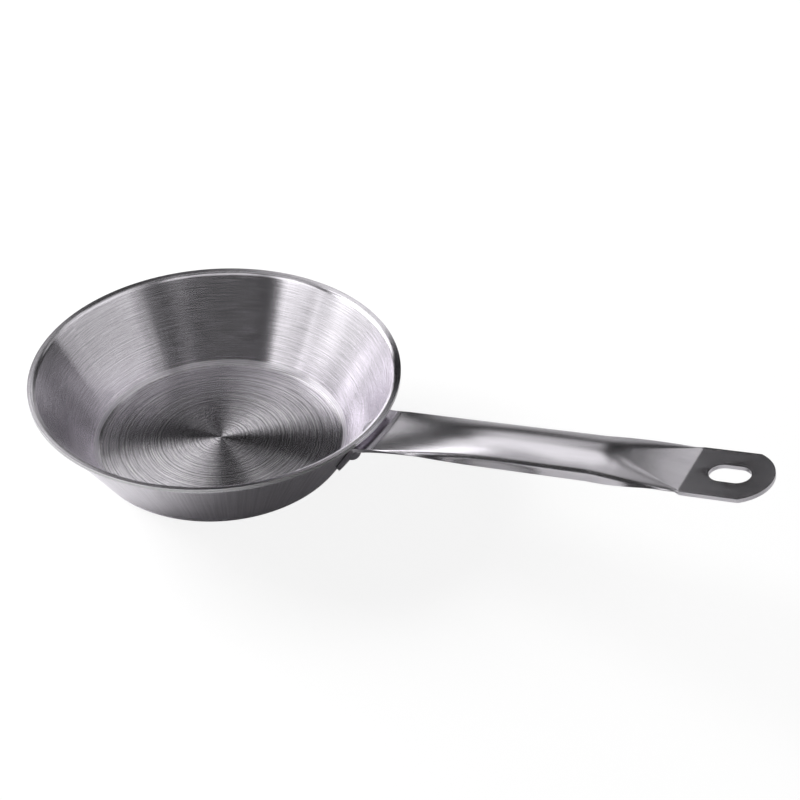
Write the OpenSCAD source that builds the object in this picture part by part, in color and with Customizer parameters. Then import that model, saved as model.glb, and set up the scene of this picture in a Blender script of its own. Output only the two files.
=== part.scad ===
// Omelette pan: a dish of three bonded sheets with a pressed strip handle held by two rivets.
// The origin is the centre of the base's underside. The handle lies along +X and +Z is up.

/* [Dish] */
// Outside diameter of the rim, mm
rim_diameter = 200; // [160:1:300]
// Height of the rim above the table, mm
rim_height = 49; // [38:0.5:70]
// Lean of the side wall away from the vertical, degrees
wall_lean = 31.4; // [20:0.1:40]
// Width of the lip from the wall's inside corner to the outer edge, mm
lip_width = 3.5; // [3:0.1:6]
// Rise of the lip towards its outer edge, degrees
lip_rise = 10; // [4:0.5:20]
// Radius of the bend between wall and lip on its under side, mm
lip_bend_radius = 2; // [1.4:0.1:3]
// Inside radius of the corner between floor and wall, mm
floor_corner_radius = 4; // [3:0.5:12]

/* [Bonded sheets] */
// Thickness of the inner steel sheet, mm
inner_ply_thickness = 0.5; // [0.3:0.05:0.8]
// Thickness of the aluminium core sheet, mm
core_ply_thickness = 1.2; // [0.8:0.1:2]
// Thickness of the outer steel sheet, mm
outer_ply_thickness = 0.5; // [0.3:0.05:0.8]

/* [Handle strip] */
// Thickness of the handle's steel sheet, mm
handle_thickness = 2; // [1.5:0.1:3]
// Rise of the handle above the horizontal, degrees
handle_rise = 12.8; // [5:0.1:25]
// Height of the rim above the corner where the handle leaves the wall, mm
root_below_rim = 5.7; // [5:0.1:12]
// Height of the hanging tab's plane above the plane of the handle's root, mm
tab_offset = 0.7; // [0:0.1:3]
// Distance along the handle from the wall to the cross crease, mm
crease_distance = 174.9; // [140:0.1:220]
// Half width of the strip at the wall, mm
root_half_width = 18.5; // [16:0.1:22]
// Outside radius of the bend between tongue and handle, mm
root_bend_radius = 6; // [4:0.1:8]

/* [Arched grip] */
// Half width of the grip between its shoulders, mm
grip_half_width = 14; // [12:0.1:16]
// Height of the grip's shoulders above the plane of the tab, mm
shoulder_height = 2.75; // [1:0.05:5]
// Height of the grip's crown above its shoulders, mm
crown_height = 3; // [1:0.1:5]
// Outside radius of the shoulder bend, mm
shoulder_radius = 3; // [2.6:0.1:4]
// Turn of the shoulder bend, degrees
shoulder_turn = 60; // [30:1:62]
// Depth of the straight side below the shoulder bend, mm
side_depth = 3.4; // [1:0.1:8]
// Length over which the grip forms from the flat root, mm
root_forming_length = 80; // [50:1:100]
// Length over which the grip forms from the crease, mm
crease_forming_length = 48; // [40:1:60]
// Length of the flat facet in front of the crease, mm
facet_length = 38.5; // [25:0.5:45]
// Distance from the crease at which the shoulders begin to rise, mm
shoulder_start = 4; // [1:0.5:8]

/* [Hanging tab] */
// Half width of the tab, mm
tab_half_width = 18.2; // [15:0.1:22]
// Length of the tab from the crease to its end, mm
tab_length = 38.7; // [34:0.1:50]
// Radius of the tab's rounded end, mm
tab_end_radius = 20.3; // [19:0.1:30]
// Length of the hanging slot from end to end, mm
slot_length = 20; // [14:0.5:24]
// Width of the hanging slot, mm
slot_width = 13; // [6:0.5:13]
// Distance from the crease to the middle of the slot, mm
slot_distance = 18.1; // [15:0.1:22]

/* [Tongue on the wall] */
// Height of the tongue's lower edge above the table, mm
tongue_low_height = 17.5; // [14:0.5:22]
// Half width of the tongue at its lower end, mm
tongue_low_half_width = 12.6; // [10:0.1:15]
// Radius of the tongue's lower corners, mm
tongue_corner_radius = 6; // [3:0.5:8]
// Gap between tongue and wall on the centre line, mm
seat_gap = 0.02; // [0.01:0.01:0.1]
// Extra gap between tongue and wall at the strip's edge, mm
edge_lift = 0.5; // [0:0.05:1]

/* [Rivets] */
// Diameter of the rivet shank, mm
shank_diameter = 4.4; // [3:0.1:6]
// Clearance round the shank in its holes, mm
shank_clearance = 0.03; // [0.01:0.01:0.1]
// Distance of each rivet from the handle's centre line, mm
rivet_offset = 10.5; // [8:0.1:12]
// Height of the rivets above the table, on the wall's outer face, mm
rivet_height = 34; // [31:0.1:36]
// Diameter of the domed outer head, mm
outer_head_diameter = 8.6; // [7:0.1:10]
// Height of the domed outer head, mm
outer_head_height = 2.7; // [1:0.1:4]
// Clearance under the outer head, mm
outer_head_gap = 0.15; // [0.1:0.01:0.3]
// Diameter of the low inner head, mm
inner_head_diameter = 9; // [7:0.1:11]
// Height of the low inner head, mm
inner_head_height = 1.3; // [0.8:0.1:3]
// Clearance under the inner head, mm
inner_head_gap = 0.12; // [0.1:0.01:0.3]

/* [Hidden] */
$fn = 96;
arc_steps = 8;
arch_steps = 6;
bend_steps = 4;
root_bend_steps = 4;
root_forming_steps = 9;
grip_steps = 4;
crease_forming_steps = 10;
tongue_steps = 5;
corner_steps = 4;
cut_margin = 10;
edge_ratio = 0.08;
flat_ratio = 0.07;
least_turn = 0.02;

rim_radius = rim_diameter / 2;
sheet = inner_ply_thickness + core_ply_thickness + outer_ply_thickness;
inner_face = sheet;
core_top = outer_ply_thickness + core_ply_thickness;
core_bottom = outer_ply_thickness;

// The outer face of the wall is the cone of radius wall_radius(z).
lip_corner_z = rim_height - lip_width * tan(lip_rise);
wall_foot = rim_radius - lip_width + sheet / cos(wall_lean) - lip_corner_z * tan(wall_lean);
function wall_radius(z) = wall_foot + z * tan(wall_lean);

// Centres of the two bends in the dish's section, seen in the plane of radius and height.
floor_bend_radius = floor_corner_radius + sheet;
floor_bend_r = wall_foot - floor_bend_radius * tan((90 - wall_lean) / 2);
lip_turn = 90 - wall_lean - lip_rise;
lip_line_z = rim_height - sheet / cos(lip_rise);
function lip_under(r) = lip_line_z - (rim_radius - r) * tan(lip_rise);
lip_knee_r = (wall_foot + (lip_line_z - rim_radius * tan(lip_rise)) * tan(wall_lean))
    / (1 - tan(lip_rise) * tan(wall_lean));
lip_bend_start = [lip_knee_r, lip_under(lip_knee_r)]
    + lip_bend_radius * tan(lip_turn / 2) * [-sin(wall_lean), -cos(wall_lean)];
lip_bend_centre = lip_bend_start + lip_bend_radius * [cos(wall_lean), -sin(wall_lean)];

// Directions in the handle's vertical middle plane.
wall_slope = 90 - wall_lean;
function along(slope) = [cos(slope), sin(slope)];
function across(slope) = [-sin(slope), cos(slope)];

// The handle's corner on the wall, the bend there and the plane of the tab.
root_z = rim_height - root_below_rim;
root_corner = [wall_radius(root_z), root_z] - seat_gap * across(wall_slope);
root_turn = wall_slope - handle_rise;
bend_reach = root_bend_radius * tan(root_turn / 2);
bend_centre = root_corner + bend_reach * along(handle_rise)
    - root_bend_radius * across(handle_rise);
tab_start = root_corner + crease_distance * along(handle_rise) + tab_offset * across(handle_rise);
tongue_length = (root_z - tongue_low_height) / cos(wall_lean) - bend_reach;
grip_start = bend_reach - crease_distance;
strip_end = tab_length + cut_margin;

// Rivet axes stand square to the wall.
rivet_turn = asin(rivet_offset / wall_radius(rivet_height));

function limit(x) = max(0, min(1, x));
function ease(x) = sin(90 * limit(x));
function mix(a, b, t) = a + (b - a) * t;

// How far the grip is formed at distance u from the crease, 0 flat and 1 full.
function formed_root(u) = ease((u - grip_start) / root_forming_length);
function formed_crease(u) = ease(-u / crease_forming_length);
function formed(u) = max(edge_ratio, formed_root(u) * formed_crease(u));

// Heights above the tab's plane: the shoulders, then the crown over them.
shoulder_run = crease_forming_length - shoulder_start;
function shoulder(u) = shoulder_height * ease((-u - shoulder_start) / shoulder_run)
    - (shoulder_height + tab_offset) * (1 - formed_root(u));
facet_slope = (shoulder_height + crown_height) / facet_length;
facet_fade = facet_length / 5;
function facet_height(run) = run < facet_length - facet_fade
    ? run * facet_slope
    : facet_length * facet_slope
        - facet_slope * pow(max(0, facet_length + facet_fade - run), 2) / (4 * facet_fade);
function crown(u) = facet_height(max(0, -u))
    - (shoulder_height + crown_height + tab_offset) * (1 - formed_root(u));

// Half widths: the level middle, the end of the arch, and the developed edge beyond it.
function level_share(u) = max(flat_ratio, min(1 - flat_ratio, 1 + u / facet_length));
function shoulder_half(u) = u > -crease_forming_length
    ? mix(tab_half_width - least_edge, grip_half_width, limit(-u / crease_forming_length))
    : mix(root_half_width - least_edge, grip_half_width, formed_root(u));
bend_length = shoulder_radius * shoulder_turn * PI / 180;
function edge_length(form) = form * bend_length + pow(form, 2) * side_depth;
least_edge = edge_length(edge_ratio);

// One half of a section as points [sideways, height, slope] from the middle to the edge.
// level: half width of the flat middle. reach: end of the arch. top, low: heights of both.
// form: share of the shoulder bend and side. turn: whether they turn down.
function arch_slope(level, reach, top, low, t = 1) = atan(2 * (top - low) * t / (reach - level));
function half_section(level, reach, top, low, form, turn) =
    let (
        start = arch_slope(level, reach, top, low),
        bend = max(least_turn, turn * form * shoulder_turn),
        bow = form * bend_length / (bend * PI / 180),
        finish = start + bend,
        knee = [reach + bow * (sin(finish) - sin(start)), low - bow * (cos(start) - cos(finish))],
        side = pow(form, 2) * side_depth
    )
    concat(
        [[0, top, 0]],
        [for (i = [0:arch_steps]) let (t = i / arch_steps)
            [
                mix(level, reach, t),
                top - (top - low) * t * t,
                arch_slope(level, reach, top, low, t)
            ]],
        [for (i = [1:bend_steps]) let (a = start + bend * i / bend_steps)
            [reach + bow * (sin(a) - sin(start)), low - bow * (cos(start) - cos(a)), a]],
        [[knee[0] + side * cos(finish), knee[1] - side * sin(finish), finish]]
    );

// A whole closed ring of the strip: upper face from left to right, then lower face back.
function lowered(p) = [p[0] - handle_thickness * sin(p[2]), p[1] - handle_thickness * cos(p[2])];
function ring(half) =
    let (last = len(half) - 1)
    concat(
        [for (i = [last:-1:1]) [-half[i][0], half[i][1]]],
        [for (p = half) [p[0], p[1]]],
        [for (i = [last:-1:0]) lowered(half[i])],
        [for (i = [1:last]) let (q = lowered(half[i])) [-q[0], q[1]]]
    );
function placed(ring, foot, slope) =
    [for (p = ring) let (q = foot + p[1] * across(slope)) [q[0], p[0], q[1]]];

// Stations on the tongue, from its lower edge up. d is the distance below the bend.
function tongue_half(d) = mix(root_half_width, tongue_low_half_width, limit(d / tongue_length))
    - (tongue_corner_radius
        - sqrt(pow(tongue_corner_radius, 2)
            - pow(max(0, d - tongue_length + tongue_corner_radius), 2)));
function wall_sag(r, half) = half * half * cos(wall_lean) / (2 * r)
    - edge_lift * pow(half / root_half_width, 2);
function tongue_ring(d) =
    let (
        z = root_z - (d + bend_reach) * cos(wall_lean),
        reach = tongue_half(d) - least_edge,
        foot = root_corner - (d + bend_reach) * along(wall_slope),
        sag = wall_sag(wall_radius(z), reach)
    )
    placed(ring(half_section(flat_ratio * reach, reach, 0, sag, edge_ratio, 0)), foot, wall_slope);
corner_start = tongue_length - tongue_corner_radius;
tongue_rings = concat(
    [for (i = [corner_steps:-1:1])
        tongue_ring(corner_start + tongue_corner_radius * sin(90 * i / corner_steps))],
    [for (i = [tongue_steps:-1:1]) tongue_ring(corner_start * i / tongue_steps)]
);

// Stations in the bend, where the hollow of the tongue runs out.
bend_rings = [for (i = [0:root_bend_steps])
    let (
        t = i / root_bend_steps,
        slope = mix(wall_slope, handle_rise, t),
        reach = root_half_width - least_edge,
        sag = wall_sag(wall_radius(root_z), reach) * (1 - t)
    )
    placed(
        ring(half_section(flat_ratio * reach, reach, 0, sag, edge_ratio, 0)),
        bend_centre + root_bend_radius * across(slope),
        slope
    )];

// Stations on the grip and the tab.
function grip_ring(u) =
    let (reach = shoulder_half(u))
    placed(
        ring(half_section(level_share(u) * reach, reach, crown(u), shoulder(u), formed(u),
            formed_root(u) * formed_crease(u) > edge_ratio ? 1 : 0)),
        tab_start + u * along(handle_rise),
        handle_rise
    );
root_formed = grip_start + root_forming_length;
grip_rings = concat(
    [for (i = [1:root_forming_steps])
        grip_ring(mix(grip_start, root_formed, i / root_forming_steps))],
    [for (i = [1:grip_steps])
        grip_ring(mix(root_formed, -crease_forming_length, i / grip_steps))],
    [for (i = [crease_forming_steps - 1:-1:0])
        grip_ring(-crease_forming_length * i / crease_forming_steps)],
    [grip_ring(strip_end)]
);

module inner_ply() {
    color("silver")
    ply(core_top, inner_face);
}

module core_ply() {
    color("gainsboro")
    ply(core_bottom, core_top);
}

module outer_ply() {
    color("lightgray")
    ply(0, core_bottom);
}

module handle() {
    color("darkgray")
    difference() {
        strip(concat(tongue_rings, bend_rings, grip_rings));
        tab_end_waste();
        hanging_slot();
        rivet_holes();
    }
}

module rivets() {
    color("gray")
    at_rivets()
    rivet();
}

// One sheet of the dish between two distances from the outer face.
module ply(low, high) {
    difference() {
        rotate_extrude()
        polygon(concat(dish_line(low), reversed(dish_line(high))));
        rivet_holes();
    }
}

function reversed(points) = [for (i = [len(points) - 1:-1:0]) points[i]];
function dish_line(t) = concat(
    [[0, t]],
    [for (i = [0:arc_steps]) let (a = -90 + wall_slope * i / arc_steps)
        [floor_bend_r, floor_bend_radius] + (floor_bend_radius - t) * [cos(a), sin(a)]],
    [for (i = [0:arc_steps]) let (a = 180 - wall_lean - lip_turn * i / arc_steps)
        lip_bend_centre + (lip_bend_radius + t) * [cos(a), sin(a)]],
    [[rim_radius, lip_under(rim_radius) + t / cos(lip_rise)]]
);

// A solid strip through closed rings of points.
module strip(rings) {
    count = len(rings[0]);
    middle = count / 2;
    last = len(rings) - 1;
    polyhedron(
        points = [for (r = rings) each r],
        faces = concat(
            [for (i = [0:last - 1], j = [0:count - 1]) let (k = (j + 1) % count)
                [i * count + j, i * count + k, (i + 1) * count + k]],
            [for (i = [0:last - 1], j = [0:count - 1]) let (k = (j + 1) % count)
                [i * count + j, (i + 1) * count + k, (i + 1) * count + j]],
            [for (j = [0:middle - 2]) [count - 1 - j, count - 2 - j, j + 1, j]],
            [for (j = [0:middle - 2])
                [for (k = [j, j + 1, count - 2 - j, count - 1 - j]) last * count + k]]
        )
    );
}

// The frame of the tab: origin at the crease, X towards the tab's end, Z square to its face.
module on_tab() {
    translate([tab_start[0], 0, tab_start[1]])
    rotate([0, -handle_rise, 0])
    children();
}

module tab_end_waste() {
    end_centre = tab_length - tab_end_radius;
    on_tab()
    difference() {
        translate([end_centre, -rim_radius / 2, -cut_margin])
        cube([rim_radius, rim_radius, 2 * cut_margin]);
        translate([end_centre, 0, -2 * cut_margin])
        cylinder(r = tab_end_radius, h = 4 * cut_margin);
    }
}

module hanging_slot() {
    half_run = (slot_length - slot_width) / 2;
    on_tab()
    translate([slot_distance, 0, -cut_margin]) {
        for (side = [-1, 1])
            translate([side * half_run, 0, 0])
            cylinder(d = slot_width, h = 2 * cut_margin);
        translate([-half_run, -slot_width / 2, 0])
        cube([2 * half_run, slot_width, 2 * cut_margin]);
    }
}

// The frame of each rivet: origin on the wall's outer face, Z square to the wall and outwards.
module at_rivets() {
    for (side = [-1, 1])
        rotate([0, 0, side * rivet_turn])
        translate([wall_radius(rivet_height), 0, rivet_height])
        rotate([0, 90 + wall_lean, 0])
        children();
}

module rivet_holes() {
    at_rivets()
    translate([0, 0, -cut_margin])
    cylinder(d = shank_diameter + 2 * shank_clearance, h = 2 * cut_margin);
}

module rivet() {
    outer_seat = seat_gap + edge_lift * pow(rivet_offset / root_half_width, 2) + handle_thickness
        + outer_head_gap;
    inner_seat = sheet + inner_head_gap;
    translate([0, 0, -inner_seat])
    cylinder(d = shank_diameter, h = inner_seat + outer_seat);
    translate([0, 0, outer_seat])
    domed_head(outer_head_diameter, outer_head_height);
    translate([0, 0, -inner_seat])
    mirror([0, 0, 1])
    domed_head(inner_head_diameter, inner_head_height);
}

// A ball's cap that stands on the plane z = 0.
module domed_head(diameter, height) {
    ball = (pow(diameter / 2, 2) + pow(height, 2)) / (2 * height);
    intersection() {
        translate([0, 0, height - ball])
        sphere(r = ball);
        cylinder(d = 2 * diameter, h = 2 * height);
    }
}

inner_ply();
core_ply();
outer_ply();
handle();
rivets();
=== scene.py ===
"""Omelette pan: looks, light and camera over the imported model."""

import math
from collections import namedtuple

import bmesh
import bpy
from mathutils import Euler, Matrix, Vector


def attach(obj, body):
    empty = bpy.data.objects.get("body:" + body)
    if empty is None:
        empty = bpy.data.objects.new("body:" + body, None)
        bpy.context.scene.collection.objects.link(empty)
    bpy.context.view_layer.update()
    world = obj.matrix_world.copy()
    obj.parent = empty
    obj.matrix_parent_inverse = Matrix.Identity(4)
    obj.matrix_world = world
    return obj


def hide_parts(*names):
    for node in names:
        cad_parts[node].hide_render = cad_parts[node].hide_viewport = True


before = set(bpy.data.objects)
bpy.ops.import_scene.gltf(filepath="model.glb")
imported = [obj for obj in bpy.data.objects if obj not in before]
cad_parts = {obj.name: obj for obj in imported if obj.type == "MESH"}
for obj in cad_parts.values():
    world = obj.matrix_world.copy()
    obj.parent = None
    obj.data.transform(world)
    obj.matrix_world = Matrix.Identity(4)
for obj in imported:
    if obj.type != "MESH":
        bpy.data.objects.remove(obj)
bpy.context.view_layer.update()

scene = bpy.context.scene
MM = 0.001  # sizes are in mm, as in the solids, and the scene is in metres

# Dish
RIM_RADIUS = 100.0
RIM_HEIGHT = 49.0
WALL_LEAN = math.radians(31.4)  # away from the vertical
LIP_WIDTH = 3.5
LIP_RISE = math.radians(10.0)
LIP_BEND_RADIUS = 2.0  # on its under side
FLOOR_CORNER_RADIUS = 4.0  # inside
OUTER_PLY = 0.5
CORE_PLY = 1.2
INNER_PLY = 0.5

# Handle strip
HANDLE_THICKNESS = 2.0
HANDLE_RISE = math.radians(12.8)
ROOT_BELOW_RIM = 5.7
TAB_OFFSET = 0.7  # height of the tab's plane above the root's plane
CREASE_DISTANCE = 174.9  # from the wall
ROOT_HALF_WIDTH = 18.5
ROOT_BEND_RADIUS = 6.0  # outside

# Arched grip
GRIP_HALF_WIDTH = 14.0
SHOULDER_HEIGHT = 2.75
CROWN_HEIGHT = 3.0  # above the shoulders
SHOULDER_RADIUS = 3.0
SHOULDER_TURN = math.radians(60.0)
SIDE_DEPTH = 3.4
ROOT_FORMING = 80.0  # length over which the grip forms from the root
CREASE_FORMING = 48.0  # and from the crease
FACET_LENGTH = 38.5
SHOULDER_START = 4.0  # distance from the crease at which the shoulders begin to rise
EDGE_RATIO = 0.08  # share of the shoulder bend and side that the flat strip keeps
FLAT_RATIO = 0.07  # least share of the width that is level, or arched

# Hanging tab
TAB_HALF_WIDTH = 18.2
TAB_LENGTH = 38.7
TAB_END_RADIUS = 20.3
SLOT_LENGTH = 20.0
SLOT_WIDTH = 13.0
SLOT_DISTANCE = 18.1  # from the crease to the middle of the slot

# Tongue on the wall
TONGUE_LOW_HEIGHT = 17.5
TONGUE_LOW_HALF_WIDTH = 12.6
TONGUE_CORNER_RADIUS = 6.0
SEAT_GAP = 0.02
EDGE_LIFT = 0.5  # extra gap to the wall at the strip's edge

# Rivets
SHANK_DIAMETER = 4.4
RIVET_OFFSET = 10.5  # from the handle's centre line
RIVET_HEIGHT = 34.0
OUTER_HEAD = (8.6, 2.7)  # diameter and height
INNER_HEAD = (9.0, 1.3)
OUTER_HEAD_GAP = 0.15
INNER_HEAD_GAP = 0.12

# How finely the meshes are divided
FLOOR_RINGS = (20.0, 45.0)
DISH_BEND_STEPS = 20
WALL_STEPS = 6
DISH_SEGMENTS = 288
RIVET_SEGMENTS = 64
CAP_STEPS = 16
ARCH_STEPS = 14
SHOULDER_STEPS = 8
SIDE_STEPS = 3
TONGUE_CORNER_STEPS = 12
TONGUE_STEPS = 10
ROOT_BEND_STEPS = 10
ROOT_FORMING_STEPS = 36
GRIP_STEPS = 12
CREASE_FORMING_STEPS = 32
SLOT_STEPS = 32
TAB_END_STEPS = 64
LEAST_TURN = math.radians(0.02)  # a shoulder that doesn't turn keeps this, so that its radius is finite
ON_AXIS = 1e-6  # mm from the axis within which a point is on it
TURNED_SHARP = math.radians(30.0)  # an edge that turns by more than this is sharp
STRIP_SHARP = math.radians(45.0)
ARRIS_WIDTH = 0.28
ARRIS_STEPS = 3

# The dish's section, in the plane of radius and height
SHEET = OUTER_PLY + CORE_PLY + INNER_PLY
LIP_CORNER_Z = RIM_HEIGHT - LIP_WIDTH * math.tan(LIP_RISE)
WALL_FOOT = RIM_RADIUS - LIP_WIDTH + SHEET / math.cos(WALL_LEAN) - LIP_CORNER_Z * math.tan(WALL_LEAN)
WALL_SLOPE = math.pi / 2 - WALL_LEAN
FLOOR_BEND_RADIUS = FLOOR_CORNER_RADIUS + SHEET
FLOOR_BEND_CENTRE = (WALL_FOOT - FLOOR_BEND_RADIUS * math.tan(WALL_SLOPE / 2), FLOOR_BEND_RADIUS)
LIP_TURN = WALL_SLOPE - LIP_RISE
LIP_LINE_Z = RIM_HEIGHT - SHEET / math.cos(LIP_RISE)


def wall_radius(z):
    """Radius of the wall's outer face."""
    return WALL_FOOT + z * math.tan(WALL_LEAN)


def lip_under(r):
    """Height of the lip's under side."""
    return LIP_LINE_Z - (RIM_RADIUS - r) * math.tan(LIP_RISE)


LIP_KNEE_R = (WALL_FOOT + (LIP_LINE_Z - RIM_RADIUS * math.tan(LIP_RISE)) * math.tan(WALL_LEAN)) / (
    1 - math.tan(LIP_RISE) * math.tan(WALL_LEAN)
)
LIP_BEND_REACH = LIP_BEND_RADIUS * math.tan(LIP_TURN / 2)
LIP_BEND_CENTRE = (
    LIP_KNEE_R - LIP_BEND_REACH * math.sin(WALL_LEAN) + LIP_BEND_RADIUS * math.cos(WALL_LEAN),
    lip_under(LIP_KNEE_R) - LIP_BEND_REACH * math.cos(WALL_LEAN) - LIP_BEND_RADIUS * math.sin(WALL_LEAN),
)


def on_circle(centre, radius, a):
    return (centre[0] + radius * math.cos(a), centre[1] + radius * math.sin(a))


def dish_line(t):
    """One face of the dish's section from the axis to the rim, t above the outer face: (r, z)."""
    line = [(r, t) for r in (0.0, *FLOOR_RINGS)]
    for i in range(DISH_BEND_STEPS + 1):
        a = -math.pi / 2 + WALL_SLOPE * i / DISH_BEND_STEPS
        line.append(on_circle(FLOOR_BEND_CENTRE, FLOOR_BEND_RADIUS - t, a))
    foot = line[-1]
    head = on_circle(LIP_BEND_CENTRE, LIP_BEND_RADIUS + t, math.pi - WALL_LEAN)
    for i in range(1, WALL_STEPS):
        line.append(tuple(p + (q - p) * i / WALL_STEPS for p, q in zip(foot, head)))
    for i in range(DISH_BEND_STEPS + 1):
        a = math.pi - WALL_LEAN - LIP_TURN * i / DISH_BEND_STEPS
        line.append(on_circle(LIP_BEND_CENTRE, LIP_BEND_RADIUS + t, a))
    line.append((RIM_RADIUS, lip_under(RIM_RADIUS) + t / math.cos(LIP_RISE)))
    return line


# Meshes
def new_object(name, bm):
    """Turns a bmesh into an object of the scene."""
    mesh = bpy.data.meshes.new(name)
    bm.to_mesh(mesh)
    bm.free()
    obj = bpy.data.objects.new(name, mesh)
    scene.collection.objects.link(obj)
    return obj


def shade_smooth(obj, sharp):
    """Smooth shading, with sharp edges from the angle sharp."""
    obj.data.shade_smooth()
    obj.data.set_sharp_from_angle(angle=sharp)


def lathe(name, outline, segments):
    """A closed solid of revolution about Z from points (r, z) in mm, run from the axis and back to it."""
    bm = bmesh.new()
    turns = [2 * math.pi * k / segments for k in range(segments)]
    rings = []
    for r, z in outline:
        if r < ON_AXIS:
            rings.append([bm.verts.new((0, 0, z * MM))])
        else:
            rings.append([bm.verts.new((r * MM * math.cos(a), r * MM * math.sin(a), z * MM)) for a in turns])
    for a, b in zip(rings, rings[1:]):
        if len(a) == 1 and len(b) == 1:
            continue
        for k in range(segments):
            j = (k + 1) % segments
            if len(a) == 1:
                bm.faces.new((a[0], b[k], b[j]))
            elif len(b) == 1:
                bm.faces.new((a[k], b[0], a[j]))
            else:
                bm.faces.new((a[k], b[k], b[j], a[j]))
    bmesh.ops.recalc_face_normals(bm, faces=bm.faces)
    obj = new_object(name, bm)
    shade_smooth(obj, TURNED_SHARP)
    return obj


def prism(name, outline, low, high):
    """A closed prism from an outline (x, y) in mm between two heights."""
    bm = bmesh.new()
    lower = [bm.verts.new((x * MM, y * MM, low * MM)) for x, y in outline]
    upper = [bm.verts.new((x * MM, y * MM, high * MM)) for x, y in outline]
    bm.faces.new(lower[::-1])
    bm.faces.new(upper)
    for i in range(len(outline)):
        j = (i + 1) % len(outline)
        bm.faces.new((lower[i], lower[j], upper[j], upper[i]))
    bmesh.ops.recalc_face_normals(bm, faces=bm.faces)
    return new_object(name, bm)


def arc(x, y, r, start, end, steps):
    return [on_circle((x, y), r, start + (end - start) * i / steps) for i in range(steps + 1)]


def ply(name, low, high):
    """One sheet of the dish between two distances from the outer face."""
    return lathe(name, dish_line(low) + dish_line(high)[::-1], DISH_SEGMENTS)


# Handle strip, in its vertical middle plane of (x, z)
def along(slope):
    return (math.cos(slope), math.sin(slope))


def across(slope):
    return (-math.sin(slope), math.cos(slope))


def moved(point, slope, forward, up):
    """A point moved forward along a slope and up square to it."""
    return tuple(c + forward * a + up * n for c, a, n in zip(point, along(slope), across(slope)))


ROOT_Z = RIM_HEIGHT - ROOT_BELOW_RIM
ROOT_CORNER = moved((wall_radius(ROOT_Z), ROOT_Z), WALL_SLOPE, 0.0, -SEAT_GAP)
BEND_REACH = ROOT_BEND_RADIUS * math.tan((WALL_SLOPE - HANDLE_RISE) / 2)
BEND_CENTRE = moved(ROOT_CORNER, HANDLE_RISE, BEND_REACH, -ROOT_BEND_RADIUS)
TAB_START = moved(ROOT_CORNER, HANDLE_RISE, CREASE_DISTANCE, TAB_OFFSET)
TONGUE_LENGTH = (ROOT_Z - TONGUE_LOW_HEIGHT) / math.cos(WALL_LEAN) - BEND_REACH
GRIP_START = BEND_REACH - CREASE_DISTANCE
SHOULDER_LENGTH = SHOULDER_RADIUS * SHOULDER_TURN
FACET_SLOPE = (SHOULDER_HEIGHT + CROWN_HEIGHT) / FACET_LENGTH
FACET_FADE = FACET_LENGTH / 5


def limit(x):
    return max(0.0, min(1.0, x))


def ease(x):
    return math.sin(math.pi / 2 * limit(x))


def mix(a, b, t):
    return a + (b - a) * t


def formed_root(u):
    """How far the grip has formed from the root at u, the distance past the crease: 0 flat, 1 full."""
    return ease((u - GRIP_START) / ROOT_FORMING)


def formed_crease(u):
    return ease(-u / CREASE_FORMING)


def edge_length(form):
    """Length of the shoulder bend and side round the section."""
    return form * SHOULDER_LENGTH + form * form * SIDE_DEPTH


LEAST_EDGE = edge_length(EDGE_RATIO)


def shoulder(u):
    """Height of the shoulders above the tab's plane."""
    rise = SHOULDER_HEIGHT * ease((-u - SHOULDER_START) / (CREASE_FORMING - SHOULDER_START))
    return rise - (SHOULDER_HEIGHT + TAB_OFFSET) * (1 - formed_root(u))


def facet_height(run):
    if run < FACET_LENGTH - FACET_FADE:
        return run * FACET_SLOPE
    rest = max(0.0, FACET_LENGTH + FACET_FADE - run)
    return FACET_LENGTH * FACET_SLOPE - FACET_SLOPE * rest**2 / (4 * FACET_FADE)


def crown(u):
    """Height of the crown above the tab's plane."""
    fall = (SHOULDER_HEIGHT + CROWN_HEIGHT + TAB_OFFSET) * (1 - formed_root(u))
    return facet_height(max(0.0, -u)) - fall


def shoulder_half(u):
    """Half width of the arch between the shoulders."""
    if u > -CREASE_FORMING:
        return mix(TAB_HALF_WIDTH - LEAST_EDGE, GRIP_HALF_WIDTH, limit(-u / CREASE_FORMING))
    return mix(ROOT_HALF_WIDTH - LEAST_EDGE, GRIP_HALF_WIDTH, formed_root(u))


def half_section(level, reach, top, low, form, turn):
    """Half of the strip's upper face: (sideways, height, slope) from the middle to the edge.

    level is the half width of the flat middle, and reach is the end of the arch, at heights top and low.
    form is the share of the shoulder bend and side, and turn says whether they turn down."""

    def arch_slope(t):
        return math.atan(2 * (top - low) * t / (reach - level))

    out = [(0.0, top, 0.0)]
    for i in range(ARCH_STEPS + 1):
        t = i / ARCH_STEPS
        out.append((mix(level, reach, t), top - (top - low) * t * t, arch_slope(t)))
    start = arch_slope(1)
    swing = max(LEAST_TURN, turn * form * SHOULDER_TURN)
    bow = form * SHOULDER_LENGTH / swing
    for i in range(1, SHOULDER_STEPS + 1):
        a = start + swing * i / SHOULDER_STEPS
        v = reach + bow * (math.sin(a) - math.sin(start))
        out.append((v, low - bow * (math.cos(start) - math.cos(a)), a))
    v, h, a = out[-1]
    for i in range(1, SIDE_STEPS + 1):
        s = form * form * SIDE_DEPTH * i / SIDE_STEPS
        out.append((v + s * math.cos(a), h - s * math.sin(a), a))
    return out


def wall_sag(r, half):
    """How far the round wall falls back from a straight strip at its edge."""
    return half * half * math.cos(WALL_LEAN) / (2 * r) - EDGE_LIFT * (half / ROOT_HALF_WIDTH) ** 2


def tongue_half(d):
    """Half width of the tongue at distance d below the bend."""
    into = max(0.0, d - TONGUE_LENGTH + TONGUE_CORNER_RADIUS)
    inset = TONGUE_CORNER_RADIUS - math.sqrt(max(0.0, TONGUE_CORNER_RADIUS**2 - into**2))
    return mix(ROOT_HALF_WIDTH, TONGUE_LOW_HALF_WIDTH, limit(d / TONGUE_LENGTH)) - inset


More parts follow.
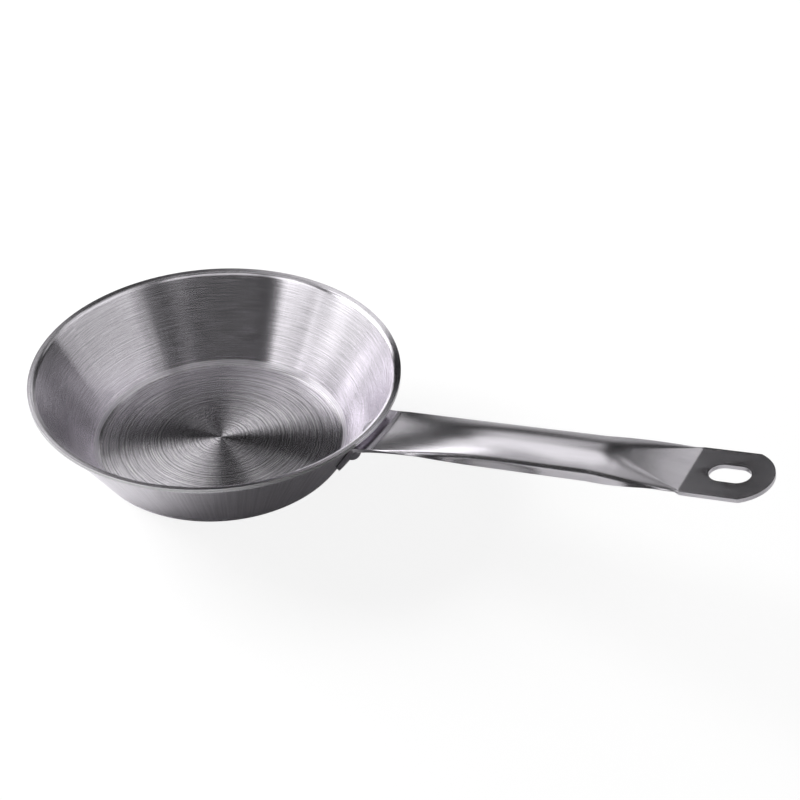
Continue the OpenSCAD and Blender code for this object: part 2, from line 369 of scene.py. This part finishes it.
def bent_section(reach, sag):
    """Half section of the plain strip, bowed to lie round the wall."""
    return half_section(FLAT_RATIO * reach, reach, 0.0, sag, EDGE_RATIO, 0.0)


def tongue_section(d):
    reach = tongue_half(d) - LEAST_EDGE
    z = ROOT_Z - (d + BEND_REACH) * math.cos(WALL_LEAN)
    foot = moved(ROOT_CORNER, WALL_SLOPE, -(d + BEND_REACH), 0.0)
    return (bent_section(reach, wall_sag(wall_radius(z), reach)), foot, WALL_SLOPE, -d)


def root_section(t):
    """Section in the bend between tongue and grip, t from 0 to 1."""
    slope = mix(WALL_SLOPE, HANDLE_RISE, t)
    reach = ROOT_HALF_WIDTH - LEAST_EDGE
    sag = wall_sag(wall_radius(ROOT_Z), reach) * (1 - t)
    foot = moved(BEND_CENTRE, slope, 0.0, ROOT_BEND_RADIUS)
    return (bent_section(reach, sag), foot, slope, 2 * BEND_REACH * t)


def grip_section(u):
    reach = shoulder_half(u)
    share = max(FLAT_RATIO, min(1 - FLAT_RATIO, 1 + u / FACET_LENGTH))
    made = formed_root(u) * formed_crease(u)
    turn = 1.0 if made > EDGE_RATIO else 0.0
    half = half_section(share * reach, reach, crown(u), shoulder(u), max(EDGE_RATIO, made), turn)
    foot = moved(TAB_START, HANDLE_RISE, u, 0.0)
    return (half, foot, HANDLE_RISE, 2 * BEND_REACH + u - GRIP_START)


def strip_sections():
    """Sections from the tongue's end to beyond the tab's end.

    Each is (half section, foot in the middle plane, slope, length along the strip)."""
    straight = TONGUE_LENGTH - TONGUE_CORNER_RADIUS
    corner = [math.sin(math.pi / 2 * i / TONGUE_CORNER_STEPS) for i in range(TONGUE_CORNER_STEPS, 0, -1)]
    sections = [tongue_section(straight + TONGUE_CORNER_RADIUS * share) for share in corner]
    sections += [tongue_section(straight * i / TONGUE_STEPS) for i in range(TONGUE_STEPS, 0, -1)]
    sections += [root_section(i / ROOT_BEND_STEPS) for i in range(ROOT_BEND_STEPS + 1)]
    formed = GRIP_START + ROOT_FORMING
    for i in range(1, ROOT_FORMING_STEPS + 1):
        sections.append(grip_section(GRIP_START + ROOT_FORMING * i / ROOT_FORMING_STEPS))
    for i in range(1, GRIP_STEPS + 1):
        sections.append(grip_section(mix(formed, -CREASE_FORMING, i / GRIP_STEPS)))
    for i in range(CREASE_FORMING_STEPS - 1, -1, -1):
        sections.append(grip_section(-CREASE_FORMING * i / CREASE_FORMING_STEPS))
    cut_margin = 10.0
    sections.append(grip_section(TAB_LENGTH + cut_margin))
    return sections


def ring_points(half):
    """A closed ring round the strip: (sideways, height, place across the flat pattern)."""
    girth = [0.0]
    for p, q in zip(half, half[1:]):
        girth.append(girth[-1] + math.hypot(q[0] - p[0], q[1] - p[1]))
    apart = 0.1  # mm between the two faces' patterns
    over = [(v, h, g) for (v, h, _), g in zip(half, girth)]
    under = [
        (v - HANDLE_THICKNESS * math.sin(a), h - HANDLE_THICKNESS * math.cos(a), g + apart)
        for (v, h, a), g in zip(half, girth)
    ]
    ring = [(-v, h, -g) for v, h, g in over[:0:-1]]
    ring += over
    ring += under[::-1]
    ring += [(-v, h, -g) for v, h, g in under[1:]]
    return ring


def strip_solid():
    """The strip before its slot and end are cut, with its flat pattern as the UV map strip."""
    bm = bmesh.new()
    uv = bm.loops.layers.uv.new("strip")
    rings = []
    flats = []
    for half, foot, slope, s in strip_sections():
        n = across(slope)
        ring = []
        flat = []
        for v, h, g in ring_points(half):
            ring.append(bm.verts.new(((foot[0] + h * n[0]) * MM, v * MM, (foot[1] + h * n[1]) * MM)))
            flat.append((s * MM, g * MM))
        rings.append(ring)
        flats.append(flat)

    def face(*corners):
        f = bm.faces.new([rings[i][j] for i, j in corners])
        for loop, (i, j) in zip(f.loops, corners):
            loop[uv].uv = flats[i][j]

    count = len(rings[0])
    last = len(rings) - 1
    for i in range(last):
        for j in range(count):
            k = (j + 1) % count
            face((i, j), (i, k), (i + 1, k), (i + 1, j))
    for i in (0, last):
        for j in range(count // 2 - 1):
            face((i, j), (i, j + 1), (i, count - 2 - j), (i, count - 1 - j))
    bmesh.ops.recalc_face_normals(bm, faces=bm.faces)
    return new_object("handle_strip", bm)


def tab_cutters():
    """Cutters for the slot and for what lies outside the tab's rounded end."""
    depth = 10.0
    half_run = (SLOT_LENGTH - SLOT_WIDTH) / 2
    quarter = math.pi / 2
    beyond = ((10, 60), (60, 60), (60, -60), (10, -60))  # corners past everything that is cut off
    slot = arc(SLOT_DISTANCE + half_run, 0, SLOT_WIDTH / 2, -quarter, quarter, SLOT_STEPS)
    slot += arc(SLOT_DISTANCE - half_run, 0, SLOT_WIDTH / 2, quarter, 3 * quarter, SLOT_STEPS)
    end_x = TAB_LENGTH - TAB_END_RADIUS
    swing = math.radians(75)
    waste = arc(end_x, 0, TAB_END_RADIUS, -swing, swing, TAB_END_STEPS)
    waste += [(end_x + x, y) for x, y in beyond]
    cutters = [prism("slot_cutter", slot, -depth, depth), prism("end_cutter", waste, -depth, depth)]
    at_crease = Matrix.Translation(Vector((TAB_START[0], 0, TAB_START[1])) * MM)
    for cutter in cutters:
        cutter.matrix_world = at_crease @ Euler((0, -HANDLE_RISE, 0)).to_matrix().to_4x4()
    return cutters


def make_handle():
    obj = strip_solid()
    cutters = tab_cutters()
    for cutter in cutters:
        cut = obj.modifiers.new(cutter.name, "BOOLEAN")
        cut.operation = "DIFFERENCE"
        cut.solver = "EXACT"
        cut.object = cutter
    bpy.context.view_layer.update()
    cut_mesh = bpy.data.meshes.new_from_object(obj.evaluated_get(bpy.context.evaluated_depsgraph_get()))
    obj.modifiers.clear()
    obj.data = cut_mesh
    for cutter in cutters:
        bpy.data.objects.remove(cutter)
    arris = obj.modifiers.new("arris", "BEVEL")
    arris.width = ARRIS_WIDTH * MM
    arris.segments = ARRIS_STEPS
    arris.limit_method = "ANGLE"
    arris.angle_limit = STRIP_SHARP
    arris.harden_normals = True
    shade_smooth(obj, STRIP_SHARP)
    return obj


# Rivets
def cap(diameter, height):
    """A rivet head's round face from its crown to its edge: (r, height above the seat)."""
    ball = ((diameter / 2) ** 2 + height * height) / (2 * height)
    edge = math.asin(min(1.0, diameter / 2 / ball))
    if height > ball:
        edge = math.pi - edge
    turns = [edge * i / CAP_STEPS for i in range(CAP_STEPS + 1)]
    return [(ball * math.sin(a), height - ball + ball * math.cos(a)) for a in turns]


def rivet_profile():
    """Section of a rivet along its axis, from the inner head's crown to the outer head's: (r, height)."""
    lift = EDGE_LIFT * (RIVET_OFFSET / ROOT_HALF_WIDTH) ** 2
    outer_seat = SEAT_GAP + lift + HANDLE_THICKNESS + OUTER_HEAD_GAP
    inner_seat = SHEET + INNER_HEAD_GAP
    inner = [(r, -inner_seat - h) for r, h in cap(*INNER_HEAD)]
    outer = [(r, outer_seat + h) for r, h in cap(*OUTER_HEAD)]
    shank = [(SHANK_DIAMETER / 2, -inner_seat), (SHANK_DIAMETER / 2, outer_seat)]
    return inner + shank + outer[::-1]


def make_rivet(name, side):
    """A rivet on its side of the handle, with its axis square to the wall."""
    rivet = lathe(name, rivet_profile(), RIVET_SEGMENTS)
    turn = math.asin(RIVET_OFFSET / wall_radius(RIVET_HEIGHT))
    place = (
        Matrix.Rotation(side * turn, 4, "Z")
        @ Matrix.Translation(Vector((wall_radius(RIVET_HEIGHT), 0, RIVET_HEIGHT)) * MM)
        @ Matrix.Rotation(math.pi / 2 + WALL_LEAN, 4, "Y")
    )
    rivet.data.transform(place)
    return rivet


inner = ply("dish_inner", OUTER_PLY + CORE_PLY, SHEET)
core = ply("dish_core", OUTER_PLY, OUTER_PLY + CORE_PLY)
outer = ply("dish_outer", 0.0, OUTER_PLY)
handle = make_handle()
rivets = [make_rivet("rivet_near", -1), make_rivet("rivet_far", 1)]


# Materials
class Nodes:
    """Short calls for building a node tree."""

    def __init__(self, tree):
        self.tree = tree
        tree.nodes.clear()

    def add(self, kind, **values):
        node = self.tree.nodes.new(kind)
        for key, value in values.items():
            setattr(node, key, value)
        return node

    def link(self, out, socket):
        self.tree.links.new(out, socket)

    def feed(self, socket, value):
        if isinstance(value, bpy.types.NodeSocket):
            self.link(value, socket)
        else:
            socket.default_value = value

    def math(self, op, a, b=None, clamp=False):
        node = self.add("ShaderNodeMath", operation=op, use_clamp=clamp)
        for socket, value in zip(node.inputs, (a, b)):
            if value is not None:
                self.feed(socket, value)
        return node.outputs[0]

    def times(self, a, b):
        return self.math("MULTIPLY", a, b)

    def plus(self, a, b):
        return self.math("ADD", a, b)

    def ramp(self, value, low, high, out_low=0.0, out_high=1.0, eased=True):
        node = self.add("ShaderNodeMapRange", interpolation_type="SMOOTHSTEP" if eased else "LINEAR")
        for socket, v in zip(node.inputs, (value, low, high, out_low, out_high)):
            self.feed(socket, v)
        return node.outputs[0]

    def noise(self, dims, scale, detail, vector=None, w=None, rough=0.5):
        node = self.add("ShaderNodeTexNoise", noise_dimensions=dims)
        node.inputs["Scale"].default_value = scale
        node.inputs["Detail"].default_value = detail
        node.inputs["Roughness"].default_value = rough
        if vector is not None:
            self.link(vector, node.inputs["Vector"])
        if w is not None:
            self.link(w, node.inputs["W"])
        return node.outputs[0]

    def stretched(self, u, v, per_u, per_v, detail, rough=0.5):
        """Flat noise with its own scale along each of two coordinates."""
        place = self.add("ShaderNodeCombineXYZ")
        self.link(self.times(u, per_u), place.inputs[0])
        self.link(self.times(v, per_v), place.inputs[1])
        return self.noise("2D", 1.0, detail, vector=place.outputs[0], rough=rough)

    def split(self, vector):
        node = self.add("ShaderNodeSeparateXYZ")
        self.link(vector, node.inputs[0])
        return node.outputs

    def colour_mix(self, share, first, second, blend="MIX"):
        node = self.add("ShaderNodeMix", data_type="RGBA", blend_type=blend)
        self.feed(node.inputs[0], share)
        self.feed(node.inputs[6], first)
        self.feed(node.inputs[7], second)
        return node.outputs[2]

    def emission(self, strength):
        """White light of a strength that may be a number or a socket."""
        node = self.add("ShaderNodeEmission")
        node.inputs[0].default_value = (1, 1, 1, 1)
        self.feed(node.inputs[1], strength)
        return node.outputs[0]

    def surface(self, shader):
        out = self.add("ShaderNodeOutputMaterial")
        self.link(shader, out.inputs[0])


def new_material(name):
    mat = bpy.data.materials.new(name)
    mat.use_nodes = True
    return mat, Nodes(mat.node_tree)


ACROSS_GRAIN = 0.25  # a quarter turn: light spreads across the grain, which runs along the tangent


def bare_metal(n, colour, rough, height, strength, distance, aniso=0.0, tangent=None):
    """Ends a node tree as metal with a bump of its own strength and distance, and maybe a grain."""
    bsdf = n.add("ShaderNodeBsdfPrincipled")
    bsdf.inputs["Metallic"].default_value = 1.0
    n.link(colour, bsdf.inputs["Base Color"])
    n.link(rough, bsdf.inputs["Roughness"])
    bump = n.add("ShaderNodeBump")
    bump.inputs["Strength"].default_value = strength
    bump.inputs["Distance"].default_value = distance
    n.link(height, bump.inputs["Height"])
    n.link(bump.outputs[0], bsdf.inputs["Normal"])
    if tangent is not None:
        bsdf.inputs["Anisotropic"].default_value = aniso
        bsdf.inputs["Anisotropic Rotation"].default_value = ACROSS_GRAIN
        n.link(tangent.outputs[0], bsdf.inputs["Tangent"])
    n.surface(bsdf.outputs[0])


def shades(colour, darker, lighter):
    """Two shades of a colour, for a mix."""
    return [(*(min(1.0, c * share) for c in colour), 1) for share in (darker, lighter)]


# number: of rings or lines per metre along the section, or of streaks per radian, whose tone is a painted
# reflection
# height: of the bump, in metres. share: of the colour by which it gets lighter and darker
Marks = namedtuple("Marks", "number height share")

# Heights on the dish, in metres, between which its finish changes
RINGS_FADE = (0.003, 0.009)
# heights at which the streaks come up, with their painted reflection and their faint bump
STREAKS_AND_REFLECTION_START = (0.003, 0.012)
CORNER_FOOT = (0.0023, 0.003)
CORNER_HEAD = (0.0035, 0.0055)
WALL_RINGS = 0.35  # share of the rings that is left on the wall
CORNER_DULL = 0.22  # roughness that the corner of floor and wall has besides
NOISE_RANGE = (0.28, 0.72)  # a noise's values beyond these are its rare ones


def turned_steel(name, colour, rough, aniso, rings, brush, streaks_and_reflection):
    """Steel worked on a lathe: rings and broken brush lines round the axis, and streaks down the wall whose
    tone is a painted reflection.
    """
    mat, n = new_material(name)
    place = n.add("ShaderNodeTexCoord").outputs["Object"]
    x, y, z = n.split(place)
    radius = n.math("SQRT", n.plus(n.times(x, x), n.times(y, y)))
    run = n.plus(radius, n.times(z, 0.85))  # grows along the section from the axis to the rim
    angle = n.math("ARCTAN2", y, x)
    ring = n.noise("1D", rings.number, detail=2.0, w=run, rough=0.6)
    slow = 0.12  # the rings' strength changes this much slower than they do
    shift = 5.0  # and comes from another stretch of the noise
    strength = n.noise("1D", rings.number * slow, detail=1.0, w=n.plus(run, shift))
    line = n.stretched(angle, run, per_u=5.0, per_v=brush.number, detail=3.0, rough=0.65)
    # streaks down the wall: a painted reflection in the tone, changing round the axis as the mirrored room
    # does, and a faint bump
    streak_and_reflection = n.stretched(angle, run, per_u=streaks_and_reflection.number, per_v=14.0, detail=2.0)
    cloud = n.noise("3D", 28.0, detail=3.0, vector=place)
    fading = n.ramp(z, *RINGS_FADE, 1.0, WALL_RINGS)
    wall = n.ramp(z, *STREAKS_AND_REFLECTION_START)
    corner = n.times(n.ramp(z, *CORNER_FOOT), n.ramp(z, *CORNER_HEAD, 1.0, 0.0))

    def swing(value, share):
        """A noise value spread out to -share .. share."""
        return n.times(n.math("SUBTRACT", n.ramp(value, *NOISE_RANGE), 0.5), 2 * share)

    gain = n.plus(n.times(strength, 1.2), 0.4)  # from 0.4 to 1.6
    tone = n.times(swing(ring, rings.share), gain)
    tone = n.times(tone, fading)
    tone = n.plus(tone, swing(line, brush.share))
    # painted reflection: the streaks lighten and darken the wall's tone
    tone = n.plus(tone, n.times(swing(streak_and_reflection, streaks_and_reflection.share), wall))
    shade = n.colour_mix(1.0, (*colour, 1), n.plus(tone, 1.0), "MULTIPLY")
    uneven = 0.04  # what two noises of mean 0.5 add to the roughness on average
    dull = n.plus(n.times(n.plus(line, cloud), uneven), n.times(corner, CORNER_DULL))
    dull = n.plus(dull, rough - uneven)
    height = n.times(n.times(ring, strength), n.times(fading, rings.height))
    height = n.plus(height, n.times(line, brush.height))
    height = n.plus(height, n.times(n.times(streak_and_reflection, wall), streaks_and_reflection.height))
    tangent = n.add("ShaderNodeTangent", direction_type="RADIAL", axis="Z")
    bare_metal(n, shade, dull, height, strength=1.0, distance=1.0, aniso=aniso, tangent=tangent)
    return mat


def strip_steel(name, colour, rough, aniso):
    """Satin strip with its grain along the length."""
    mat, n = new_material(name)
    s, v, _ = n.split(n.add("ShaderNodeUVMap", uv_map="strip").outputs[0])
    grain = n.stretched(s, v, per_u=60.0, per_v=2600.0, detail=4.0, rough=0.6)
    cloud = n.stretched(s, v, per_u=30.0, per_v=120.0, detail=2.0)
    shade = n.colour_mix(grain, *shades(colour, darker=0.86, lighter=1.1))
    uneven = 0.05  # as in turned_steel
    dull = n.plus(rough - uneven, n.times(n.plus(grain, cloud), uneven))
    tangent = n.add("ShaderNodeTangent", direction_type="UV_MAP", uv_map="strip")
    bare_metal(n, shade, dull, grain, strength=0.35, distance=0.00004, aniso=aniso, tangent=tangent)
    return mat


def plain_metal(name, colour, rough, grain_scale):
    """Pressed or cut metal with a fine speckle."""
    mat, n = new_material(name)
    place = n.add("ShaderNodeTexCoord").outputs["Object"]
    speck = n.noise("3D", grain_scale, detail=4.0, vector=place)
    shade = n.colour_mix(speck, *shades(colour, darker=0.92, lighter=1.05))
    uneven = 0.08  # one noise of mean 0.5 adds half of this on average
    dull = n.plus(rough - uneven / 2, n.times(speck, uneven))
    bare_metal(n, shade, dull, speck, strength=0.2, distance=0.00003)
    return mat


STEEL = (0.795, 0.768, 0.815)
ALUMINIUM = (0.75, 0.75, 0.76)
RIVET_STEEL = (0.56, 0.54, 0.58)
inner_steel = turned_steel(
    "inner_steel",
    STEEL,
    rough=0.2,
    aniso=1.0,
    rings=Marks(950.0, 0.00005, 0.28),
    brush=Marks(1300.0, 0.000003, 0.13),
    # streaks: only a painted reflection in the tone here, with no bump
    streaks_and_reflection=Marks(90.0, 0.0, 0.02),
)
outer_steel = turned_steel(
    "outer_steel",
    STEEL,
    rough=0.2,
    aniso=1.0,
    rings=Marks(900.0, 0.00002, 0.14),
    brush=Marks(1300.0, 0.000004, 0.06),
    # streaks: a painted reflection in the tone, with a faint bump
    streaks_and_reflection=Marks(75.0, 0.000002, 0.09),
)
core_aluminium = plain_metal("core_aluminium", ALUMINIUM, rough=0.5, grain_scale=900.0)
handle_steel = strip_steel("handle_steel", STEEL, rough=0.19, aniso=0.8)
rivet_steel = plain_metal("rivet_steel", RIVET_STEEL, rough=0.3, grain_scale=1200.0)

for obj, node, slot_name, material in (
    (inner, "inner_ply", "inner_steel", inner_steel),
    (core, "core_ply", "core_aluminium", core_aluminium),
    (outer, "outer_ply", "outer_steel", outer_steel),
    (handle, "handle", "handle_steel", handle_steel),
    (rivets[0], "rivets", "rivet_steel", rivet_steel),
    (rivets[1], "rivets", "rivet_steel", rivet_steel),
):
    obj.data.materials.clear()
    obj.data.materials.append(material)
    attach(obj, "root")
    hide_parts(node)

# Floor
FLOOR_RADIUS = 6.0  # metres
FLOOR_SEGMENTS = 64
FLOOR_DROP = 0.1  # mm under the base
FLOOR_TONE = (0.95, 0.95, 0.95, 1)  # the paper as the metal sees it
SEEN_TONE = (0.2, 0.2, 0.2, 1)  # as the camera sees it, where the glow below makes it white
SEEN_GLOW = 0.88
FAR_GLOW = 0.7  # glow that the metal sees besides, far from the pan, where the lamp's light is weak
FAR = (0.5, 3.0)  # metres over which that glow comes up


def floor_white():
    """White paper that has its own tone in the metal and for the camera."""
    mat, n = new_material("floor_white")
    path = n.add("ShaderNodeLightPath").outputs
    seen = n.math("ADD", path["Is Camera Ray"], path["Is Transmission Ray"], clamp=True)
    distance = n.add("ShaderNodeVectorMath", operation="LENGTH")
    n.link(n.add("ShaderNodeTexCoord").outputs["Object"], distance.inputs[0])
    away = n.ramp(distance.outputs["Value"], *FAR, 0.0, FAR_GLOW)
    diffuse = n.add("ShaderNodeBsdfDiffuse")
    n.link(n.colour_mix(seen, FLOOR_TONE, SEEN_TONE), diffuse.inputs[0])
    in_metal = n.times(path["Is Glossy Ray"], away)
    both = n.add("ShaderNodeAddShader")
    n.link(diffuse.outputs[0], both.inputs[0])
    n.link(n.emission(n.math("MAXIMUM", n.times(seen, SEEN_GLOW), in_metal)), both.inputs[1])
    n.surface(both.outputs[0])
    return mat


bm = bmesh.new()
bmesh.ops.create_circle(bm, cap_ends=True, radius=FLOOR_RADIUS, segments=FLOOR_SEGMENTS)
floor = new_object("floor", bm)
floor.location.z = -FLOOR_DROP * MM
floor.data.materials.append(floor_white())

# White room: full white to camera, transmission and glossy rays, and a faint light otherwise
AMBIENT = 0.1
world = bpy.data.worlds.new("studio")
scene.world = world
world.use_nodes = True
n = Nodes(world.node_tree)
path = n.add("ShaderNodeLightPath").outputs
seen = n.plus(path["Is Camera Ray"], path["Is Transmission Ray"])
seen = n.math("ADD", seen, path["Is Glossy Ray"], clamp=True)
sky = n.add("ShaderNodeBackground")
sky.inputs[0].default_value = (1, 1, 1, 1)
n.link(n.ramp(seen, 0.0, 1.0, AMBIENT, 1.0, eased=False), sky.inputs[1])
out = n.add("ShaderNodeOutputWorld")
n.link(sky.outputs[0], out.inputs[0])

# Lamp: it lights the floor, and the metal doesn't mirror it
LAMP_AT = Vector((-1.99, 0.21, 0.93))
lamp = bpy.data.lights.new("key", "AREA")
lamp.shape = "RECTANGLE"
lamp.size = 1.4
lamp.size_y = 1.0
lamp.energy = 85.0
key_lamp = bpy.data.objects.new("key", lamp)
scene.collection.objects.link(key_lamp)
key_lamp.location = LAMP_AT
key_lamp.rotation_euler = (-LAMP_AT).to_track_quat("-Z", "Y").to_euler()
key_lamp.visible_glossy = False

# Cards
LOWEST = -2.0  # elevation in degrees below which no card reaches
HIGHEST = 90.0
CARD_STEP_ACROSS = 4.0  # degrees between the mesh's lines
CARD_STEP_UP = 5.0
LEAST_CARD_STEPS = 4


def card_mesh(name, azimuth, reach, bottom, top, distance):
    """A patch of a sphere round the origin, with a UV map in degrees: off its middle, and elevation."""
    across_steps = max(LEAST_CARD_STEPS, round(reach / CARD_STEP_ACROSS))
    up_steps = max(LEAST_CARD_STEPS, round((top - bottom) / CARD_STEP_UP))
    bm = bmesh.new()
    uv = bm.loops.layers.uv.new("degrees")
    spots = []
    for i in range(up_steps + 1):
        elevation = mix(max(LOWEST, bottom), min(HIGHEST, top), i / up_steps)
        up = math.radians(elevation)
        row = []
        for j in range(2 * across_steps + 1):
            off = reach * (j / across_steps - 1)
            turn = math.radians(azimuth + off)
            way = Vector((math.cos(turn) * math.cos(up), math.sin(turn) * math.cos(up), math.sin(up)))
            row.append((bm.verts.new(way * distance), (off, elevation)))
        spots.append(row)
    for low_row, high_row in zip(spots, spots[1:]):
        for j in range(2 * across_steps):
            corners = (low_row[j], low_row[j + 1], high_row[j + 1], high_row[j])
            f = bm.faces.new([c[0] for c in corners])
            for loop, c in zip(f.loops, corners):
                loop[uv].uv = c[1]
    return new_object(name, bm)


def card(name, azimuth, half_width, low, high, soft, glow, distance):
    """A card hung round the pan, seen only in the metal, which fades out over soft degrees at its edges."""
    fade = soft / 2
    obj = card_mesh(name, azimuth, min(180.0, half_width + fade), low - fade, high + fade, distance)
    mat, n = new_material(name)
    degrees = n.split(n.add("ShaderNodeUVMap", uv_map="degrees").outputs[0])
    sideways = 1.0
    if half_width < 180:
        off = n.math("ABSOLUTE", degrees[0])
        sideways = n.ramp(off, half_width - fade, half_width + fade, 1.0, 0.0)
    bottom = n.ramp(degrees[1], low - fade, low + fade)
    top = n.ramp(degrees[1], high - fade, high + fade, 1.0, 0.0)
    blend = n.add("ShaderNodeMixShader")
    n.link(n.times(sideways, n.times(bottom, top)), blend.inputs[0])
    n.link(n.add("ShaderNodeBsdfTransparent").outputs[0], blend.inputs[1])
    n.link(n.emission(glow), blend.inputs[2])
    n.surface(blend.outputs[0])
    obj.data.materials.append(mat)
    for kind in ("camera", "diffuse", "transmission", "shadow"):
        setattr(obj, "visible_" + kind, False)


# Curtains darken the metal from afar and flags from close by. Soft cards and near cards light it again
for spec in (
    # name, azimuth, half width, low, high, softness (degrees), glow, distance (m)
    ("curtain_low", 180, 180, -6, 12, 4, 0.01, 3.4),
    ("curtain_front", -62, 50, 8, 96, 5, 0.01, 3.35),
    ("curtain_right", 23, 43, 22, 96, 5, 0.1, 3.3),
    ("curtain_far", 98, 41, 8, 96, 4, 0.03, 3.25),
    ("curtain_left", -175, 73, 8, 96, 4, 0.01, 3.2),
    ("soft_left", 186, 27, 12, 44, 8, 2.7, 2.6),
    ("soft_left_low", 180, 20, -2, 12, 8, 0.2, 2.55),
    ("soft_left_sill", 214, 18, 12, 26, 8, 1.5, 2.5),
    ("soft_left_front", -120, 15, 24, 61, 6, 1.9, 2.6),
    ("soft_corner_high", 139, 10, 40, 57, 5, 1.2, 2.6),
    ("soft_corner", 136, 7, 2, 15, 4, 1.4, 2.55),
    ("soft_right_post", 54, 9, 20, 72, 6, 0.4, 2.6),
    ("soft_right_side", -9, 8, 20, 33, 5, 0.15, 2.55),
    ("soft_front_right", -27, 12, 40, 61, 6, 0.45, 2.5),
    ("soft_front_high", -60, 44, 53, 69, 6, 1.5, 2.45),
    ("soft_far_low", 102, 9, -2, 12, 4, 0.4, 2.6),
    ("near_band", 112, 8, 25, 36, 4, 0.6, 0.8),
    ("near_facet", 85, 5, 35, 49, 3, 0.8, 0.82),
    ("near_high", 96, 8, 51, 58, 3, 1.1, 0.83),
    ("near_left", 164, 15, 28, 60, 6, 1.9, 0.84),
    ("near_top", 152, 44, 62, 76, 8, 0.45, 0.83),
    ("near_grip", 54, 41, 47, 72, 5, 1.0, 0.25),
    ("near_root", 103, 10, 54, 72, 4, 0.8, 0.252),
    ("near_lip", 158, 9, 42, 50, 3, 0.9, 0.21),
    ("flag_behind", 85, 37, -6, 13, 3, 0.4, 0.3),
    ("flag_shoulder", -66, 34, 32, 62, 4, 0.02, 0.3),
    ("flag_side", -45, 40, -6, 12, 3, 0.05, 0.19),
):
    card(*spec)

# Camera, fitted to the photograph's outlines
CAMERA_AT = (0.41485, -0.57159, 0.56271)
CAMERA_TILT = math.radians(52.59)
CAMERA_TURN = math.radians(27.87)
camera = bpy.data.objects.new("camera", bpy.data.cameras.new("camera"))
scene.collection.objects.link(camera)
camera.location = CAMERA_AT
camera.rotation_euler = (CAMERA_TILT, 0, CAMERA_TURN)
camera.data.sensor_width = 36.0
camera.data.lens = 72.4
scene.camera = camera
scene.view_settings.view_transform = "Standard"

bpy.context.view_layer.update()
